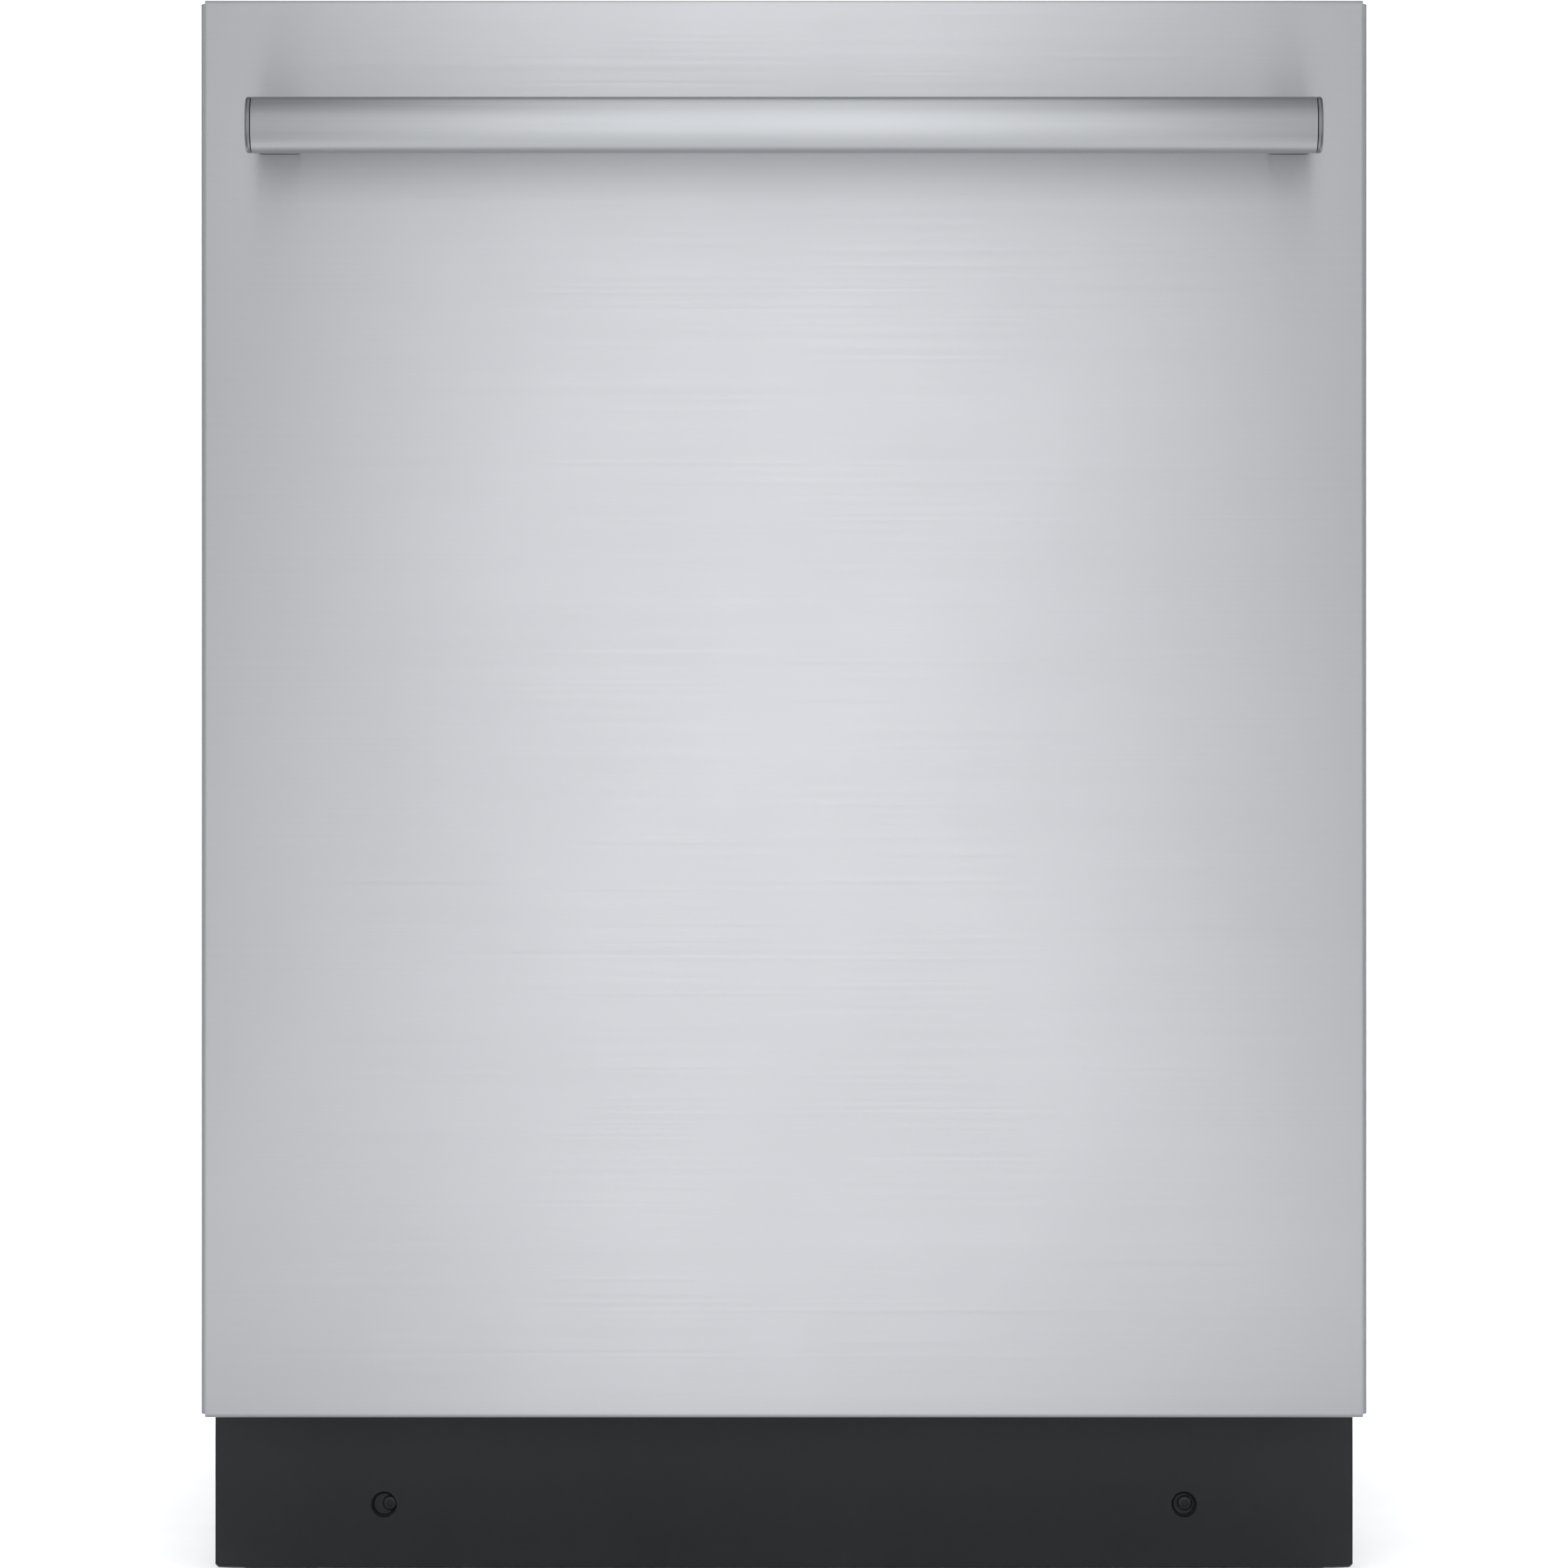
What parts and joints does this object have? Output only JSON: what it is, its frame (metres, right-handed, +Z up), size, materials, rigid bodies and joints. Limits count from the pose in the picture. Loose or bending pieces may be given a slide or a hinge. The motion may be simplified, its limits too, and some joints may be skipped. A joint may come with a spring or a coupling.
{
  "type": "built-in dishwasher",
  "caption": "Built-in dishwasher with a stainless pull-down door, bar handle, hidden top controls, black toe kick, sliding racks and spray arms.",
  "frame": {"origin": "on the floor under the middle of the machine, halfway from the handle's front to the back panel", "axes": "+X to the machine's right as seen by someone facing it, +Y to the back, +Z up; the door faces -Y"},
  "size_m": [0.598, 0.651, 0.815],
  "materials": {
    "door_steel": "horizontal brushed grain, fingerprint-resistant",
    "handle_steel": "brushed along its length",
    "handle_casting": "satin casting",
    "tub_steel": "fine satin",
    "zinc_plate": "zinc coated sheet",
    "kick_paint": "fine satin black paint",
    "dark_plastic": "fine texture",
    "grey_plastic": "satin",
    "pale_plastic": "satin",
    "rubber": "soft seal rubber",
    "bitumen": "bitumen felt",
    "coated_wire": "nylon coated wire",
    "display_black": "gloss black",
    "filter_steel": "fine mesh",
    "screw_black": "black oxide",
    "motor_case": "painted motor case"
  },
  "bodies": {
    "cabinet": {"hinge_bracket_left": "zinc_plate", "hinge_bracket_right": "zinc_plate", "door_spring_left": "zinc_plate", "door_spring_right": "zinc_plate", "tub": "tub_steel", "tub_gasket": "rubber", "door_strike": "tub_steel", "feed_pipe": "pale_plastic", "filter_plate": "filter_steel", "side_panel_left": "zinc_plate", "side_panel_right": "zinc_plate", "back_panel": "zinc_plate", "top_bar": "zinc_plate", "top_damping_mat": "bitumen", "base_pan": "dark_plastic", "toe_kick": "kick_paint", "toe_screw_left": "screw_black", "toe_screw_right": "screw_black", "sump": "dark_plastic", "circulation_pump": "motor_case", "drain_pump": "motor_case", "inlet_valve": "pale_plastic", "junction_box": "zinc_plate"},
    "door": {"door_skin": "door_steel", "door_liner": "tub_steel", "control_panel": "dark_plastic", "display_window": "display_black", "handle_bar": "handle_steel", "handle_end_left": "handle_casting", "handle_end_right": "handle_casting", "hinge_arm_left": "zinc_plate", "hinge_arm_right": "zinc_plate", "dispenser_body": "grey_plastic"},
    "bottom_basket": {"lower_rack": "coated_wire", "silverware_basket": "grey_plastic"},
    "power_key": {"power_button": "grey_plastic"},
    "cycle_key": {"cycle_button": "grey_plastic"},
    "option_key": {"option_button": "grey_plastic"},
    "start_key": {"start_button": "grey_plastic"},
    "latch": {"latch_rocker": "pale_plastic"},
    "detergent_lid": {"dispenser_lid": "pale_plastic"},
    "rinse_cap": {"rinse_aid_cap": "pale_plastic"},
    "spring_end_left": {"spring_hook_left": "zinc_plate"},
    "spring_end_right": {"spring_hook_right": "zinc_plate"},
    "filter": {"filter_cylinder": "grey_plastic"},
    "lower_arm": {"lower_spray_arm": "pale_plastic"},
    "upper_arm": {"upper_spray_arm": "pale_plastic"},
    "wheel_front_left": {"rack_wheel_front_left": "grey_plastic"},
    "wheel_front_right": {"rack_wheel_front_right": "grey_plastic"},
    "wheel_rear_left": {"rack_wheel_rear_left": "grey_plastic"},
    "wheel_rear_right": {"rack_wheel_rear_right": "grey_plastic"},
    "upper_slide_left": {"upper_rail_left": "tub_steel"},
    "upper_slide_right": {"upper_rail_right": "tub_steel"},
    "third_slide_left": {"third_rail_left": "tub_steel"},
    "third_slide_right": {"third_rail_right": "tub_steel"},
    "top_basket": {"third_rack": "coated_wire"},
    "middle_basket": {"upper_rack": "coated_wire"},
    "foot_front_left": {"leg_front_left": "dark_plastic"},
    "foot_front_right": {"leg_front_right": "dark_plastic"},
    "foot_rear": {"leg_rear": "dark_plastic"}
  },
  "joints": [
    {"name": "door_hinge", "type": "hinge", "parent": "cabinet", "child": "door", "pos_m": [0, -0.2505, 0.104], "axis": [1, 0, 0], "range_deg": [0, 90], "stiffness_Nm_per_rad": 20, "springref_deg": -11.46},
    {"name": "power_press", "type": "slide", "parent": "door", "child": "power_key", "axis": [0, 0, -1], "range_m": [0, 0.0012], "stiffness_N_per_m": 400, "springref_m": -0.0005},
    {"name": "cycle_press", "type": "slide", "parent": "door", "child": "cycle_key", "axis": [0, 0, -1], "range_m": [0, 0.0012], "stiffness_N_per_m": 400, "springref_m": -0.0005},
    {"name": "option_press", "type": "slide", "parent": "door", "child": "option_key", "axis": [0, 0, -1], "range_m": [0, 0.0012], "stiffness_N_per_m": 400, "springref_m": -0.0005},
    {"name": "start_press", "type": "slide", "parent": "door", "child": "start_key", "axis": [0, 0, -1], "range_m": [0, 0.0012], "stiffness_N_per_m": 400, "springref_m": -0.0005},
    {"name": "latch_pivot", "type": "hinge", "parent": "door", "child": "latch", "pos_m": [0, -0.2555, 0.79], "axis": [1, 0, 0], "range_deg": [0, 30], "stiffness_Nm_per_rad": 0.05, "springref_deg": -17.19},
    {"name": "detergent_lid_slide", "type": "slide", "parent": "door", "child": "detergent_lid", "axis": [0, 0, 1], "range_m": [0, 0.056]},
    {"name": "rinse_cap_twist", "type": "hinge", "parent": "door", "child": "rinse_cap", "pos_m": [0.108, -0.2315, 0.488], "axis": [0, 1, 0], "range_deg": [0, 90]},
    {"name": "filter_twist", "type": "hinge", "parent": "cabinet", "child": "filter", "pos_m": [0, -0.075, 0.11], "axis": [0, 0, 1], "range_deg": [0, 90]},
    {"name": "lower_arm_spin", "type": "hinge", "parent": "cabinet", "child": "lower_arm", "pos_m": [0, 0.038, 0.155], "axis": [0, 0, 1], "continuous": true},
    {"name": "lower_rack_roll", "type": "slide", "parent": "cabinet", "child": "bottom_basket", "axis": [0, -1, 0], "range_m": [0, 0.1816]},
    {"name": "upper_rack_slide", "type": "slide", "parent": "cabinet", "child": "middle_basket", "axis": [0, -1, 0], "range_m": [0, 0.421]},
    {"name": "third_rack_slide", "type": "slide", "parent": "cabinet", "child": "top_basket", "axis": [0, -1, 0], "range_m": [0, 0.4009]},
    {"name": "upper_rail_slide_left", "type": "slide", "parent": "cabinet", "child": "upper_slide_left", "axis": [0, -1, 0], "range_m": [0, 0.211]},
    {"name": "third_rail_slide_left", "type": "slide", "parent": "cabinet", "child": "third_slide_left", "axis": [0, -1, 0], "range_m": [0, 0.201]},
    {"name": "spring_pull_left", "type": "slide", "parent": "cabinet", "child": "spring_end_left", "axis": [0, -0.7071, 0.7071], "range_m": [0, 0.0434], "deforming": ["door_spring_left"]},
    {"name": "upper_rail_slide_right", "type": "slide", "parent": "cabinet", "child": "upper_slide_right", "axis": [0, -1, 0], "range_m": [0, 0.211]},
    {"name": "third_rail_slide_right", "type": "slide", "parent": "cabinet", "child": "third_slide_right", "axis": [0, -1, 0], "range_m": [0, 0.201]},
    {"name": "spring_pull_right", "type": "slide", "parent": "cabinet", "child": "spring_end_right", "axis": [0, -0.7071, 0.7071], "range_m": [0, 0.0434], "deforming": ["door_spring_right"]},
    {"name": "wheel_roll_front_left", "type": "hinge", "parent": "bottom_basket", "child": "wheel_front_left", "pos_m": [-0.25, -0.068, 0.1424], "axis": [1, 0, 0], "range_deg": [0, 600]},
    {"name": "wheel_roll_front_right", "type": "hinge", "parent": "bottom_basket", "child": "wheel_front_right", "pos_m": [0.25, -0.068, 0.1424], "axis": [1, 0, 0], "range_deg": [0, 600]},
    {"name": "wheel_roll_rear_left", "type": "hinge", "parent": "bottom_basket", "child": "wheel_rear_left", "pos_m": [-0.25, 0.2, 0.1424], "axis": [1, 0, 0], "range_deg": [0, 600]},
    {"name": "wheel_roll_rear_right", "type": "hinge", "parent": "bottom_basket", "child": "wheel_rear_right", "pos_m": [0.25, 0.2, 0.1424], "axis": [1, 0, 0], "range_deg": [0, 600]},
    {"name": "upper_arm_spin", "type": "hinge", "parent": "middle_basket", "child": "upper_arm", "pos_m": [0, 0.038, 0.405], "axis": [0, 0, 1], "continuous": true},
    {"name": "leg_screw_front_left", "type": "slide", "parent": "cabinet", "child": "foot_front_left", "axis": [0, 0, -1], "range_m": [0, 0.04]},
    {"name": "leg_screw_front_right", "type": "slide", "parent": "cabinet", "child": "foot_front_right", "axis": [0, 0, -1], "range_m": [0, 0.04]},
    {"name": "leg_screw_rear", "type": "slide", "parent": "cabinet", "child": "foot_rear", "axis": [0, 0, -1], "range_m": [0, 0.04]}
  ],
  "couplings": [
    {"joint": "lower_rack_roll", "follows": "door_hinge", "m_per_rad": 0.115},
    {"joint": "upper_rack_slide", "follows": "door_hinge", "m_per_rad": 0.2674},
    {"joint": "third_rack_slide", "follows": "door_hinge", "m_per_rad": 0.2546},
    {"joint": "upper_rail_slide_left", "follows": "door_hinge", "m_per_rad": 0.1337},
    {"joint": "third_rail_slide_left", "follows": "door_hinge", "m_per_rad": 0.1273},
    {"joint": "spring_pull_left", "follows": "door_hinge", "m_per_rad": 0.027},
    {"joint": "upper_rail_slide_right", "follows": "door_hinge", "m_per_rad": 0.1337},
    {"joint": "third_rail_slide_right", "follows": "door_hinge", "m_per_rad": 0.1273},
    {"joint": "spring_pull_right", "follows": "door_hinge", "m_per_rad": 0.027},
    {"joint": "wheel_roll_front_left", "follows": "door_hinge", "ratio": 6.5714},
    {"joint": "wheel_roll_front_right", "follows": "door_hinge", "ratio": 6.5714},
    {"joint": "wheel_roll_rear_left", "follows": "door_hinge", "ratio": 6.5714},
    {"joint": "wheel_roll_rear_right", "follows": "door_hinge", "ratio": 6.5714}
  ]
}
